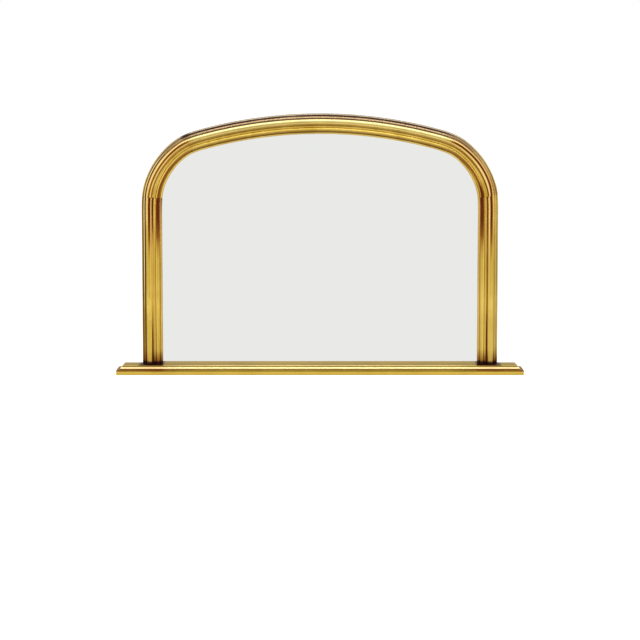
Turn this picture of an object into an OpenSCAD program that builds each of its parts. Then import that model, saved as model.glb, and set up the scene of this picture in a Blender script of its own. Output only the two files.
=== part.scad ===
// Overmantel mirror: a gilt, reeded arch frame of five pieces that stands on a moulded shelf.
// The front faces -Y. The backs of the frame and of the shelf lie in the plane y = 0.
// The underside of the shelf is z = 0, and the mirror's centre line is x = 0. Millimetres.

/* [Overall] */
// Height from the underside of the shelf to the top of the arch
overall_h = 780; // [720:5:860]
// Width of the frame over its two uprights
frame_w = 1070; // [980:5:1120]

/* [Arch] */
// Radius of the top rail's outer edge
arch_r = 1380; // [1200:10:1800]
// Radius of a corner piece's outer edge
corner_r = 250; // [232:1:290]
// Sideways reach of a corner piece, from its upper joint to the frame's side
corner_span = 132; // [120:1:140]
// Drop of a corner piece, from its upper joint to its lower joint
corner_drop = 189; // [182:1:200]

/* [Moulding members, from the outer edge to the glass] */
// Thickness of the frame at its crest
moulding_d = 44; // [40:0.5:48]
// Width of the bead on the outer edge
edge_bead_w = 5.5; // [5:0.1:7]
// Rise of the bead on the outer edge
edge_bead_rise = 2.2; // [1.5:0.1:2.4]
// Width of the small outer bead
small_bead_w = 5.8; // [5.2:0.1:7]
// Rise of the small outer bead
small_bead_rise = 2.3; // [1.5:0.1:2.5]
// Step up from the edge bead to the small bead
edge_step = 5.5; // [3:0.5:8]
// Width of the hollow between the small bead and the crest
hollow_w = 2.9; // [1.5:0.1:4]
// Depth of the hollow under the crest bead
hollow_depth = 13; // [9:0.5:14]
// Width of the broad crest bead
crest_w = 17; // [15:0.5:19]
// Rise of the broad crest bead
crest_rise = 7; // [5:0.1:7.2]
// Width of the slope from the crest into the groove
groove_slope_w = 0.7; // [0.4:0.1:2]
// Depth of the groove under the crest bead
groove_depth = 6.5; // [4:0.1:8]
// Width of the groove's flat on the crest side
groove_flat_w = 3.2; // [2:0.1:4.5]
// Width of the thin bead in the groove
thin_bead_w = 3.5; // [3.4:0.1:5]
// Rise of the thin bead in the groove
thin_bead_rise = 1.5; // [1:0.1:1.6]
// Width of the groove's flat on the glass side
inner_flat_w = 1.6; // [1:0.1:3]
// Width of the second broad bead
second_w = 13.6; // [12.5:0.1:15]
// Rise of the second broad bead
second_rise = 5.8; // [4:0.1:6]
// Step down from the groove to the foot of the second bead
second_step = 1; // [0.5:0.1:2]
// Width of the step between the second bead and the sight bead
sight_step_w = 0.9; // [0.5:0.1:2]
// Depth of the step between the second bead and the sight bead
sight_step = 4; // [2:0.1:5]
// Width of the sight bead beside the glass
sight_bead_w = 4.9; // [4.6:0.1:7]
// Rise of the sight bead beside the glass
sight_bead_rise = 2; // [1.5:0.1:2.2]
// Width of the chamfer on the sight edge
sight_chamfer_w = 1.3; // [0.8:0.1:2.5]
// Depth of the chamfer on the sight edge
sight_chamfer_d = 3; // [1.5:0.1:3.5]
// Margin left on each side of a bead
quirk = 0.2; // [0.1:0.05:0.4]

/* [Rebate, glass and back] */
// Depth of the glass rebate from the back of the frame
rebate_d = 18; // [15:0.5:20]
// Width of the glass rebate from the sight edge
rebate_w = 8; // [6:0.5:10]
// Thickness of the mirror glass
glass_t = 4; // [3:1:6]
// Play between the glass edge and the rebate wall
glass_play = 1.5; // [1:0.1:3]
// Height of the cork blocks that the glass and the board stand on
glass_lift = 2.5; // [1:0.1:4]
// Thickness of the backing board
board_t = 3; // [2:0.5:5]
// Play between the board edge and the rebate wall
board_play = 1; // [0.5:0.1:2]
// Length of a cork block under the glass
foot_block_l = 60; // [30:5:90]
// Distance of each cork block under the glass from the centre line
foot_block_x = 240; // [150:5:350]
// Length of a cork slip beside the glass
side_slip_l = 40; // [20:5:60]

/* [Glazing points] */
// Thickness of a steel glazing point
point_t = 0.6; // [0.4:0.1:1]
// Width of a glazing point
point_w = 10; // [6:0.5:14]
// Length of a glazing point that is driven into the wood
point_in = 7; // [5:0.5:9]
// Length of a glazing point that lies over the board
point_out = 9; // [6:0.5:12]
// Glazing points in each upright
upright_points = 4; // [2:1:6]
// Glazing points in each corner piece
corner_points = 2; // [1:1:3]
// Glazing points in the top rail
rail_points = 6; // [3:1:9]
// Glazing points in the shelf
shelf_points = 6; // [3:1:9]

/* [Shelf] */
// Width of the shelf over its fascia
shelf_w = 1220; // [1160:5:1400]
// Depth of the shelf from the wall to its fascia
shelf_d = 80; // [74:1:110]
// Height of the fascia
fascia_h = 15; // [12:0.5:18]
// Rise of the sloping ledge behind the fascia
ledge_rise = 1.5; // [0.8:0.1:3]
// Width of the sloping ledge behind the fascia
ledge_w = 11.5; // [8:0.5:16]
// Thickness of the upper board
top_board_t = 10.5; // [9:0.5:14]
// Radius of the upper board's rounded nose
nose_r = 5.6; // [4:0.1:6.5]
// Height of the square foot under the rounded nose
nose_foot = 0.7; // [0.3:0.1:1.5]
// Depth of the quirk above the rounded nose
nose_quirk = 1.3; // [0.5:0.1:2.5]
// Rounding of the upper board's top edge
top_ease = 1; // [0.4:0.1:1.5]
// Rounding of the fascia's edges
fascia_ease = 1.4; // [0.5:0.1:2.5]
// Rounding of the fascia's two front corners, seen from above
plan_r = 3; // [2:0.5:6]

/* [Joints] */
// Diameter of a joint dowel
dowel_d = 8; // [6:0.5:10]
// Length of a joint dowel
dowel_l = 36; // [24:2:50]
// Distance of the outer dowel from the frame's outer edge
dowel_u_outer = 18; // [14:0.5:22]
// Distance of the inner dowel from the frame's outer edge
dowel_u_inner = 40; // [34:0.5:44]
// Distance of the joint dowels from the back of the frame
dowel_back = 17; // [14:0.5:20]
// Distance of a foot dowel from the frame's outer edge
foot_dowel_u = 29; // [25:0.5:33]
// Depth of a foot dowel in the shelf
foot_dowel_bite = 15; // [10:1:20]
// Distance of a foot's outer screw from the frame's outer edge
foot_screw_u_outer = 13; // [10:0.5:17]
// Distance of a foot's inner screw from the frame's outer edge
foot_screw_u_inner = 44; // [40:0.5:46]
// Distance of the foot screws and dowels from the back of the frame
foot_back = 18; // [14:0.5:20]
// Shank diameter of a foot screw
foot_screw_d = 5; // [4:0.1:6]
// Length of a foot screw
foot_screw_l = 65; // [50:5:80]
// Shank diameter of a shelf screw
shelf_screw_d = 4; // [3:0.1:5]
// Length of a shelf screw
shelf_screw_l = 23; // [21:0.5:24]
// Number of shelf screws between the feet
shelf_screws_n = 5; // [3:1:9]
// Distance of the shelf screws from the back of the shelf
shelf_screw_back = 40; // [30:1:50]
// Clearance all round a dowel, screw or ring bar in its hole
fit = 0.05; // [0.03:0.01:0.1]
// Gap between parts that lie loose on each other
seat = 0.2; // [0.1:0.05:0.3]

/* [Hangers] */
// Drop of the hanger's eye below the joint of upright and corner
hanger_drop = 61; // [30:1:150]
// Distance of the hanger from the frame's outer edge
hanger_u = 28; // [20:0.5:34]
// Depth of the slot in the upright's back that the hanger lies in
slot_in = 5; // [4.8:0.1:6.5]
// Play between the raised ring and the wall of that slot
slot_play = 2; // [1:0.1:3]
// Width of the hanger strap
strap_w = 14; // [10:0.5:17]
// Thickness of the hanger strap
strap_t = 1; // [0.8:0.1:1.5]
// Length of the hanger strap below its eye
strap_l = 40; // [39:0.5:50]
// Diameter of the ring's wire
ring_wire_d = 2.5; // [2.2:0.1:3]
// Diameter of the straight bar of the ring, which turns in the eye
ring_bar_d = 2.4; // [2:0.1:2.8]
// Radius of the ring's bow at the middle of its wire
ring_bow_r = 11.5; // [11:0.5:12.5]
// Distance from the bar to the centre of the bow
ring_bow_drop = 4; // [3:0.5:5]
// Clearance between the ring and the strap under it
ring_clear = 0.25; // [0.2:0.05:0.6]
// Distance of the first strap screw below the eye
strap_screw_1 = 21.5; // [21:0.5:24]
// Distance of the second strap screw below the eye
strap_screw_2 = 34; // [31:0.5:35]
// Shank diameter of a strap screw
strap_screw_d = 3.5; // [3:0.1:4]
// Length of a strap screw under its head
strap_screw_l = 16; // [12:1:20]
// Diameter of a strap screw's domed head
strap_head_d = 6.6; // [5.5:0.1:7]
// Height of a strap screw's domed head
strap_head_h = 1.9; // [1.2:0.1:2]

/* [Hidden] */
$fn = 64;
bead_fn = 64;
arch_fn = 720;
half_w = frame_w / 2;

// Moulding: where each member starts, counted from the outer edge
u_small = edge_bead_w;
u_hollow = u_small + small_bead_w;
u_crest = u_hollow + hollow_w;
u_slope = u_crest + crest_w;
u_flat = u_slope + groove_slope_w;
u_thin = u_flat + groove_flat_w;
u_inner_flat = u_thin + thin_bead_w;
u_second = u_inner_flat + inner_flat_w;
u_sight_step = u_second + second_w;
u_sight = u_sight_step + sight_step_w;
u_chamfer = u_sight + sight_bead_w;
moulding_w = u_chamfer + sight_chamfer_w;

// Moulding: height of each bead's foot above the back of the frame
crest_foot = moulding_d - crest_rise;
small_foot = crest_foot - hollow_depth;
edge_foot = small_foot - edge_step;
groove_foot = crest_foot - groove_depth;
second_foot = groove_foot - second_step;
sight_foot = second_foot - sight_step;
sight_edge = sight_foot - sight_chamfer_d;

// Arch, as points [x, z] of the right half
rail_centre = [0, overall_h - arch_r];
joint_a_x = half_w - corner_span;
joint_a = [joint_a_x, rail_centre[1] + sqrt(pow(arch_r, 2) - pow(joint_a_x, 2))];
joint_b = [half_w, joint_a[1] - corner_drop];
chord = joint_b - joint_a;
chord_l = norm(chord);
corner_inset = sqrt(pow(corner_r, 2) - pow(chord_l / 2, 2));
corner_centre = (joint_a + joint_b) / 2 + [chord[1], -chord[0]] / chord_l * corner_inset;
rail_end = asin(joint_a_x / arch_r);
corner_start = direction(joint_b - corner_centre);
corner_end = direction(joint_a - corner_centre);
mitre_a = (90 - rail_end + corner_end) / 2;
mitre_b = corner_start / 2;
mitre_extra = 15;
cut_reach = 25;

// Rebate, glass and back, as distances from the wall
wall_u = moulding_w - rebate_w;
glass_u = wall_u + glass_play;
board_u = wall_u + board_play;
glass_front = rebate_d - seat;
glass_back = glass_front - glass_t;
board_front = glass_back - seat;
board_back = board_front - board_t;
point_front = board_back - seat / 2;
point_back = point_front - point_t;
arc_steps = 24;

// Shelf
base_board_t = fascia_h + ledge_rise;
shelf_t = base_board_t + top_board_t;
nose_front = shelf_d - ledge_w;
top_front = nose_front - nose_r - nose_quirk;
ease_steps = 4;
nose_steps = 8;
screw_sink = 0.3;
head_share = 1.95;
slot_w = 1;
slot_depth = 1;
dowel_chamfer = 1;
dowel_end_gap = 0.5;
foot_dowel_z = shelf_t - foot_dowel_bite + dowel_l / 2;

// Hangers
eye_x = half_w - hanger_u;
eye_z = joint_b[1] - hanger_drop;
eye_y = strap_t + ring_clear + ring_wire_d / 2 - slot_in;
eye_bore_r = ring_bar_d / 2 + fit;
strap_end_z = eye_z - strap_l + strap_w / 2;
slot_r = ring_bow_r + ring_wire_d / 2 + slot_play;
bow_end = asin(ring_bow_drop / ring_bow_r);
bow_past = 7;
strap_hole_r = strap_screw_d / 2 + seat;

gold = "#c9a24b";
wood = "#b88a5a";
steel = "#a9acb0";
cork = "#9c7048";
hardboard = "#7c5a38";
silver = "#dfe3e4";

// ---------- functions ----------

// Direction of a vector [x, z], in degrees from +X towards +Z
function direction(v) = atan2(v[1], v[0]);

// Point at a distance and a direction from a centre
function polar(centre, r, angle) = centre + r * [cos(angle), sin(angle)];

// The middles of n equal steps from a to b
function spread(a, b, n) = [for (i = [0:n - 1]) a + (b - a) * (i + 0.5) / n];

// Angle from vertical at which the rail's arc meets the corner's arc, both moved in by u
function rail_meet(u) =
    let (rail = arch_r - u, corner = corner_r - u, across = corner_centre - rail_centre, d = norm(across))
    90 - direction(across) + acos((pow(rail, 2) + pow(d, 2) - pow(corner, 2)) / (2 * rail * d));

// Angle at which the corner's arc leaves the upright's edge, both moved in by u
function corner_leave(u) = acos((half_w - u - corner_centre[0]) / (corner_r - u));

// Angle at which the corner's arc reaches the rail's arc, both moved in by u
function corner_reach(u) = direction(polar(rail_centre, arch_r - u, 90 - rail_meet(u)) - corner_centre);

// Points of an arc that turns from angle a to angle b
function arc(centre, r, a, b, steps) = [for (i = [0:steps]) polar(centre, r, a + (b - a) * i / steps)];

// Right half of the arch's outline, moved in by u, from the upright's joint to the centre line
function half_arch(u) = concat(
    arc(corner_centre, corner_r - u, corner_leave(u), corner_reach(u), arc_steps),
    [for (i = [1:arc_steps]) polar(rail_centre, arch_r - u, 90 - rail_meet(u) * (1 - i / arc_steps))]
);

// The same points on the other side of the centre line, in reverse
function mirrored(points) = [for (i = [len(points) - 1:-1:0]) [-points[i][0], points[i][1]]];

// Places [x, z, outward angle] on the rebate wall where glazing points are driven in
function upright_places() =
    [for (z = spread(shelf_t, joint_b[1], upright_points)) [half_w - wall_u, z, 0]];
function corner_places() =
    [for (a = spread(corner_leave(wall_u), corner_reach(wall_u), corner_points))
        let (p = polar(corner_centre, corner_r - wall_u, a)) [p[0], p[1], a]];
function rail_places() =
    [for (a = spread(90 - rail_meet(wall_u), 90 + rail_meet(wall_u), rail_points))
        let (p = polar(rail_centre, arch_r - wall_u, a)) [p[0], p[1], a]];
function shelf_places() =
    [for (x = spread(wall_u - half_w, half_w - wall_u, shelf_points)) [x, base_board_t, -90]];
function shelf_screw_x() =
    spread(wall_u - half_w, half_w - wall_u, shelf_screws_n);

// ---------- shared shapes ----------

// Gives an outline drawn in [x, z] a body from distance t0 to distance t1 in front of the wall
module slab(t0, t1) {
    rotate([90, 0, 0]) translate([0, 0, t0]) linear_extrude(t1 - t0) children();
}

// Turns +X outwards along a direction at a place [x, z, angle]
module at_place(p) {
    translate([p[0], 0, p[1]]) rotate([0, -p[2], 0]) children();
}

// Both the piece and its twin across the centre line
module both_sides() {
    children();
    mirror([1, 0, 0]) children();
}

// A bead of a given width and rise whose foot starts at u
module bead(u, foot, w, rise) {
    half = w / 2 - quirk;
    r = (pow(half, 2) + pow(rise, 2)) / (2 * rise);
    translate([u + w / 2, foot + rise - r]) circle(r, $fn = bead_fn);
}

// Cross-section of the frame: x is the distance from the outer edge, y the height above the back
module moulding_section() {
    difference() {
        union() {
            polygon([
                [0, 0], [wall_u, 0], [wall_u, rebate_d], [moulding_w, rebate_d], [moulding_w, sight_edge],
                [u_chamfer, sight_foot], [u_sight, sight_foot], [u_sight_step, second_foot],
                [u_second, second_foot], [u_second, groove_foot], [u_flat, groove_foot],
                [u_slope, crest_foot], [u_crest, crest_foot], [u_hollow, small_foot],
                [u_small, small_foot], [u_small, edge_foot], [0, edge_foot]
            ]);
            intersection() {
                translate([0, edge_foot / 2]) square([moulding_w, moulding_d]);
                union() {
                    bead(0, edge_foot, edge_bead_w, edge_bead_rise);
                    bead(u_small, small_foot, small_bead_w, small_bead_rise);
                    bead(u_crest, crest_foot, crest_w, crest_rise);
                    bead(u_thin, groove_foot, thin_bead_w, thin_bead_rise);
                    bead(u_second, second_foot, second_w, second_rise);
                    bead(u_sight, sight_foot, sight_bead_w, sight_bead_rise);
                }
            }
        }
        translate([wall_u, -1]) square([rebate_w + 1, rebate_d + 1]);
    }
}

// The moulding swept round a centre, from angle a to angle b
module curved_moulding(centre, r, a, b) {
    translate([centre[0], 0, centre[1]]) rotate([90, 0, 0]) rotate([0, 0, a])
        rotate_extrude(angle = b - a, $fn = arch_fn)
            translate([r, 0]) mirror([1, 0]) moulding_section();
}

// A block that trims a piece at a joint: side 1 takes away what lies ahead of the joint, -1 what lies behind
module mitre_cut(joint, angle, side) {
    at_place([joint[0], joint[1], angle])
        translate([-moulding_w - cut_reach, -moulding_d - 1, side > 0 ? 0 : -2 * cut_reach])
            cube([moulding_w + 2 * cut_reach, moulding_d + 2, 2 * cut_reach]);
}

// A dowel with chamfered ends, centred on the origin and lying along Z
module dowel() {
    r = dowel_d / 2;
    rotate_extrude() polygon([
        [0, -dowel_l / 2], [r - dowel_chamfer, -dowel_l / 2], [r, dowel_chamfer - dowel_l / 2],
        [r, dowel_l / 2 - dowel_chamfer], [r - dowel_chamfer, dowel_l / 2], [0, dowel_l / 2]
    ]);
}

// The hole that a dowel fits
module dowel_hole() {
    cylinder(r = dowel_d / 2 + fit, h = dowel_l + 2 * dowel_end_gap, center = true);
}

// Puts a child at both dowels of a mitre
module at_mitre_dowels(joint, angle) {
    for (u = [dowel_u_outer, dowel_u_inner])
        at_place([joint[0], joint[1], angle]) translate([-u, -dowel_back, 0]) children();
}

// Puts a child at the screws that come up through the shelf into the right foot
module at_foot_screws() {
    for (u = [foot_screw_u_outer, foot_screw_u_inner]) translate([half_w - u, -foot_back, 0]) children();
}

// Puts a child at the dowel of the right foot
module at_foot_dowel() {
    translate([half_w - foot_dowel_u, -foot_back, foot_dowel_z]) children();
}

// A slotted countersunk screw that points up, its head just inside the plane z = 0
module countersunk_screw(d, l) {
    head_r = d / 2 * head_share;
    difference() {
        translate([0, 0, screw_sink]) rotate_extrude() polygon([
            [0, 0], [head_r, 0], [d / 2, head_r - d / 2], [d / 2, l - d], [0, l]
        ]);
        translate([-head_r - 1, -slot_w / 2, screw_sink - 1]) cube([2 * head_r + 2, slot_w, slot_depth + 1]);
    }
}

// The hole for a countersunk screw, open below
module countersunk_hole(d, l) {
    head_r = d / 2 * head_share + fit;
    r = d / 2 + fit;
    rotate_extrude() polygon([
        [0, -1], [head_r, -1], [head_r, screw_sink], [r, screw_sink + head_r - r], [r, l + 1], [0, l + 1]
    ]);
}

// A glazing point on a place of the rebate wall, outwards along +X
module glazing_point(place, gap) {
    at_place(place) translate([-point_out, -point_front - gap, -point_w / 2 - gap])
        cube([point_out + point_in + gap, point_t + 2 * gap, point_w + 2 * gap]);
}

// Puts a child at both screws of the right hanger strap, with +Z pointing away from the wood
module at_strap_screws() {
    for (drop = [strap_screw_1, strap_screw_2])
        translate([eye_x, -slot_in, eye_z - drop]) rotate([-90, 0, 0]) children();
}

// The slot in the back of the right upright, with room for the strap and for the ring both ways up
module hanger_slot() {
    top = eye_z + ring_bow_drop;
    slab(-1, slot_in) translate([eye_x, 0]) {
        translate([-slot_r, strap_end_z]) square([2 * slot_r, top - strap_end_z]);
        translate([0, top]) circle(slot_r);
        translate([0, strap_end_z]) circle(slot_r);
    }
}

// ---------- frame ----------

module top_rail() {
    extra = mitre_extra / arch_r * 180 / PI;
    color(gold) difference() {
        curved_moulding(rail_centre, arch_r, 90 - rail_end - extra, 90 + rail_end + extra);
        both_sides() {
            mitre_cut(joint_a, mitre_a, -1);
            at_mitre_dowels(joint_a, mitre_a) dowel_hole();
        }
        for (p = rail_places()) glazing_point(p, fit);
    }
}

module corner() {
    extra = mitre_extra / corner_r * 180 / PI;
    color(gold) difference() {
        curved_moulding(corner_centre, corner_r, corner_start - extra, corner_end + extra);
        mitre_cut(joint_a, mitre_a, 1);
        mitre_cut(joint_b, mitre_b, -1);
        at_mitre_dowels(joint_a, mitre_a) dowel_hole();
        at_mitre_dowels(joint_b, mitre_b) dowel_hole();
        for (p = corner_places()) glazing_point(p, fit);
    }
}

module corner_right() { corner(); }

module corner_left() { mirror([1, 0, 0]) corner(); }

module upright() {
    color(gold) difference() {
        translate([half_w, 0, shelf_t]) linear_extrude(joint_b[1] - shelf_t + mitre_extra)
            rotate(180) moulding_section();
        mitre_cut(joint_b, mitre_b, 1);
        at_mitre_dowels(joint_b, mitre_b) dowel_hole();
        at_foot_dowel() dowel_hole();
        at_foot_screws() countersunk_hole(foot_screw_d, foot_screw_l);
        hanger_slot();
        at_strap_screws() translate([0, 0, -strap_screw_l - 1])
            cylinder(r = strap_screw_d / 2 + fit, h = strap_screw_l + 2);
        for (p = upright_places()) glazing_point(p, fit);
    }
}

module upright_right() { upright(); }

module upright_left() { mirror([1, 0, 0]) upright(); }

module rail_dowels() {
    color(wood) both_sides() at_mitre_dowels(joint_a, mitre_a) dowel();
}

module upright_dowels() {
    color(wood) both_sides() at_mitre_dowels(joint_b, mitre_b) dowel();
}

module foot_dowels() {
    color(wood) both_sides() at_foot_dowel() dowel();
}

module foot_screws() {
    color(steel) both_sides() at_foot_screws() countersunk_screw(foot_screw_d, foot_screw_l);
}

// ---------- shelf ----------

// Lower board's moulded edge, from its foot up: [distance in from the fascia, height]
base_edge = concat(
    arc([fascia_ease, fascia_ease], fascia_ease, 270, 180, ease_steps),
    arc([fascia_ease, fascia_h - fascia_ease], fascia_ease, 180, 97, ease_steps),
    [[ledge_w, base_board_t]]
);

// Upper board's moulded edge, from its foot up: [distance in from the fascia, height]
top_edge = concat(
    [[ledge_w, base_board_t]],
    arc([ledge_w + nose_r, base_board_t + nose_foot], nose_r, 180, 90, nose_steps),
    [[shelf_d - top_front, base_board_t + nose_foot + nose_r]],
    arc([shelf_d - top_front + top_ease, shelf_t - top_ease], top_ease, 180, 90, ease_steps)
);

// A board that carries one moulded edge along its front and both its ends
module moulded_board(edge) {
    foot = edge[0][1];
    top = edge[len(edge) - 1][1];
    right = [for (p = edge) [shelf_w / 2 - p[0], p[1]]];
    intersection() {
        translate([-shelf_w / 2, -shelf_d, 0]) rotate([90, 0, 90]) linear_extrude(shelf_w)
            polygon(concat([[shelf_d, foot]], edge, [[shelf_d, top]]));
        slab(0, shelf_d) polygon(concat(right, mirrored(right)));
    }
}

// Outline of the shelf from above, with its two front corners rounded
module shelf_plan() {
    front_y = plan_r - shelf_d;
    corner_x = shelf_w / 2 - plan_r;
    polygon(concat(
        [[-shelf_w / 2, 0]],
        arc([-corner_x, front_y], plan_r, 180, 270, ease_steps),
        arc([corner_x, front_y], plan_r, 270, 360, ease_steps),
        [[shelf_w / 2, 0]]
    ));
}

// Holes for all the screws that come up through the shelf
module shelf_holes() {
    both_sides() {
        at_foot_screws() countersunk_hole(foot_screw_d, foot_screw_l);
        at_foot_dowel() dowel_hole();
    }
    for (x = shelf_screw_x())
        translate([x, -shelf_screw_back, 0]) countersunk_hole(shelf_screw_d, shelf_screw_l);
}

module shelf_base_board() {
    color(gold) difference() {
        intersection() {
            moulded_board(base_edge);
            linear_extrude(shelf_t) shelf_plan();
        }
        shelf_holes();
        for (p = shelf_places()) glazing_point(p, fit);
    }
}

module shelf_top_board() {
    color(gold) difference() {
        moulded_board(top_edge);
        translate([wall_u - half_w, -rebate_d, base_board_t - 1])
            cube([2 * (half_w - wall_u), rebate_d + 1, top_board_t + 2]);
        shelf_holes();
    }
}

module shelf_screws() {
    color(steel) for (x = shelf_screw_x())
        translate([x, -shelf_screw_back, 0]) countersunk_screw(shelf_screw_d, shelf_screw_l);
}

// ---------- glass and back ----------

// Outline of a sheet in the rebate, moved in by u from the frame's outer edge, from height z up
module sheet(u, z) {
    right = half_arch(u);
    polygon(concat([[half_w - u, z]], right, mirrored(right), [[u - half_w, z]]));
}

module mirror_glass() {
    color(silver) slab(glass_back, glass_front) sheet(glass_u, base_board_t + glass_lift);
}

module backing_board() {
    color(hardboard) slab(board_back, board_front) sheet(board_u, base_board_t + glass_lift);
}

module glass_blocks() {
    color(cork) both_sides() {
        slab(board_back, glass_front) translate([foot_block_x - foot_block_l / 2, base_board_t])
            square([foot_block_l, glass_lift]);
        for (z = spread(shelf_t, joint_b[1], 2))
            slab(glass_back, glass_front) translate([half_w - glass_u, z - side_slip_l / 2])
                square([glass_play, side_slip_l]);
    }
}

module glazing_points() {
    color(steel) {
        both_sides() for (p = concat(upright_places(), corner_places())) glazing_point(p, 0);
        for (p = concat(rail_places(), shelf_places())) glazing_point(p, 0);
    }
}

// ---------- hangers ----------

module hanger_strap() {
    color(steel) difference() {
        union() {
            translate([eye_x - strap_w / 2, -slot_in, strap_end_z])
                cube([strap_w, strap_t, eye_z - strap_end_z]);
            translate([eye_x, -slot_in, strap_end_z]) rotate([-90, 0, 0])
                cylinder(r = strap_w / 2, h = strap_t);
            translate([eye_x, eye_y, eye_z]) rotate([0, 90, 0])
                cylinder(r = eye_bore_r + strap_t, h = strap_w, center = true);
        }
        translate([eye_x, eye_y, eye_z]) rotate([0, 90, 0])
            cylinder(r = eye_bore_r, h = strap_w + 2, center = true);
        at_strap_screws() translate([0, 0, -1]) cylinder(r = strap_hole_r, h = strap_t + 2);
    }
}

module hanger_strap_right() { hanger_strap(); }

module hanger_strap_left() { mirror([1, 0, 0]) hanger_strap(); }

module hanger_ring() {
    bar_half = ring_bow_r * cos(bow_end);
    color(steel) translate([eye_x, eye_y, eye_z]) {
        rotate([0, 90, 0]) cylinder(d = ring_bar_d, h = 2 * bar_half, center = true);
        translate([0, 0, -ring_bow_drop]) rotate([90, 0, 0]) rotate([0, 0, 180 - bow_end - bow_past])
            rotate_extrude(angle = 180 + 2 * (bow_end + bow_past))
                translate([ring_bow_r, 0]) circle(d = ring_wire_d);
    }
}

module hanger_ring_right() { hanger_ring(); }

module hanger_ring_left() { mirror([1, 0, 0]) hanger_ring(); }

module hanger_screws() {
    dome_r = (pow(strap_head_d / 2, 2) + pow(strap_head_h, 2)) / (2 * strap_head_h);
    r = strap_screw_d / 2;
    color(steel) at_strap_screws() {
        difference() {
            translate([0, 0, strap_t + strap_head_h - dome_r]) sphere(dome_r);
            translate([-dome_r - 1, -dome_r - 1, -2 * dome_r - 2 + strap_t])
                cube([2 * dome_r + 2, 2 * dome_r + 2, 2 * dome_r + 2]);
            translate([-strap_head_d, -slot_w / 2, strap_t + strap_head_h - slot_depth])
                cube([2 * strap_head_d, slot_w, slot_depth + 1]);
        }
        rotate_extrude() polygon([
            [0, strap_t - strap_screw_l], [r, strap_t - strap_screw_l + 2 * r], [r, strap_t + 0.2], [0, strap_t + 0.2]
        ]);
    }
}

module hanger_screws_right() { hanger_screws(); }

module hanger_screws_left() { mirror([1, 0, 0]) hanger_screws(); }

top_rail();
corner_left();
corner_right();
upright_left();
upright_right();
rail_dowels();
upright_dowels();
foot_dowels();
foot_screws();
shelf_top_board();
shelf_base_board();
shelf_screws();
mirror_glass();
glass_blocks();
backing_board();
glazing_points();
hanger_strap_left();
hanger_strap_right();
hanger_ring_left();
hanger_ring_right();
hanger_screws_left();
hanger_screws_right();
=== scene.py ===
"""Overmantel mirror: a gilt, reeded arch frame that stands on a moulded, gilt shelf.

The front faces -Y, the wall plane is y = 0 and the underside of the shelf is z = 0.
Sizes are in millimetres and become metres when a mesh is finished.
"""

import logging
import math
from dataclasses import dataclass, field
from enum import Enum
from typing import Callable, Iterable, Mapping, Optional, Sequence, Union

import bmesh
import bpy
from mathutils import Matrix, Vector


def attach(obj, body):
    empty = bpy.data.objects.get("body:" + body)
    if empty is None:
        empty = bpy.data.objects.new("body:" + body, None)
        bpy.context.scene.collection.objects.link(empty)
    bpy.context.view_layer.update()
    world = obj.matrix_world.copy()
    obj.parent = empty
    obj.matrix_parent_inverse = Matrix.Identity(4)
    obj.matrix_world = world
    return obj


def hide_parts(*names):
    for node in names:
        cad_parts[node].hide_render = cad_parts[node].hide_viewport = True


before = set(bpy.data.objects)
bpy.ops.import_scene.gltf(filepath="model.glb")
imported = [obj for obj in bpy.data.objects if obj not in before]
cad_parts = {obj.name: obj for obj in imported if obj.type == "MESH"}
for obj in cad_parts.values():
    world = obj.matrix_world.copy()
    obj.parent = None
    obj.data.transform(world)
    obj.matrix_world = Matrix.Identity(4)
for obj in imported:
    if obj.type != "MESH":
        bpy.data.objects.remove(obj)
LOG = logging.getLogger("overmantel")
MM = 0.001
TOUCH = 1e-4  # mm within which a point lies on a plane
ON_JOINT = 1e-2  # mm from a joint's plane within which an edge belongs to the cut
MERGE = 1e-6  # m within which two points of a CAD node are one
RUN = "run"  # UV map that holds a moulding's run
Mesh = bmesh.types.BMesh
Material = bpy.types.Material
Point = tuple[float, float]
Band = tuple[float, float, float]
Colour = tuple[float, float, float, float]
BLACK: Colour = (0.0, 0.0, 0.0, 1.0)
WHITE: Colour = (1.0, 1.0, 1.0, 1.0)


def paint(red: int, green: int, blue: int) -> Colour:
    """Turns a paint colour, 0 to 255 as a screen shows it, into a linear colour.

    Args:
        red: Amount of red.
        green: Amount of green.
        blue: Amount of blue.

    Returns:
        The linear colour with full alpha.
    """
    def channel(value: int) -> float:
        """Turns one channel from screen to linear."""
        share = value / 255
        return share / 12.92 if share <= 0.04045 else ((share + 0.055) / 1.055) ** 2.4
    return channel(red), channel(green), channel(blue), 1.0


class Side(Enum):
    """The two sides of the mirror, by the sign of x."""

    LEFT = -1
    RIGHT = 1

    @property
    def word(self) -> str:
        """Gives the side's name as the nodes spell it."""
        return self.name.lower()


# ---------------------------------------------------------------- shader maths


class Signal:
    """A node's output that takes part in Python sums."""

    def __init__(self, shader: "Shader", socket: bpy.types.NodeSocket) -> None:
        """Wraps an output socket of a shader's node tree."""
        self.shader = shader
        self.socket = socket

    def __add__(self, other: "Number") -> "Signal":
        """Adds a number or a signal."""
        return self.shader.math("ADD", self, other)

    def __sub__(self, other: "Number") -> "Signal":
        """Takes a number or a signal away."""
        return self.shader.math("SUBTRACT", self, other)

    def __rsub__(self, other: "Number") -> "Signal":
        """Takes the signal away from a number."""
        return self.shader.math("SUBTRACT", other, self)

    def __mul__(self, other: "Number") -> "Signal":
        """Multiplies by a number or a signal."""
        return self.shader.math("MULTIPLY", self, other)

    def __truediv__(self, other: "Number") -> "Signal":
        """Divides by a number or a signal."""
        return self.shader.math("DIVIDE", self, other)

    def __neg__(self) -> "Signal":
        """Turns the sign round."""
        return self.shader.math("MULTIPLY", self, -1.0)

    def __abs__(self) -> "Signal":
        """Drops the sign."""
        return self.shader.math("ABSOLUTE", self)

    __radd__ = __add__
    __rmul__ = __mul__


Number = Union[float, int, Signal]
Plug = Union[float, int, str, Sequence[float], Signal]


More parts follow.
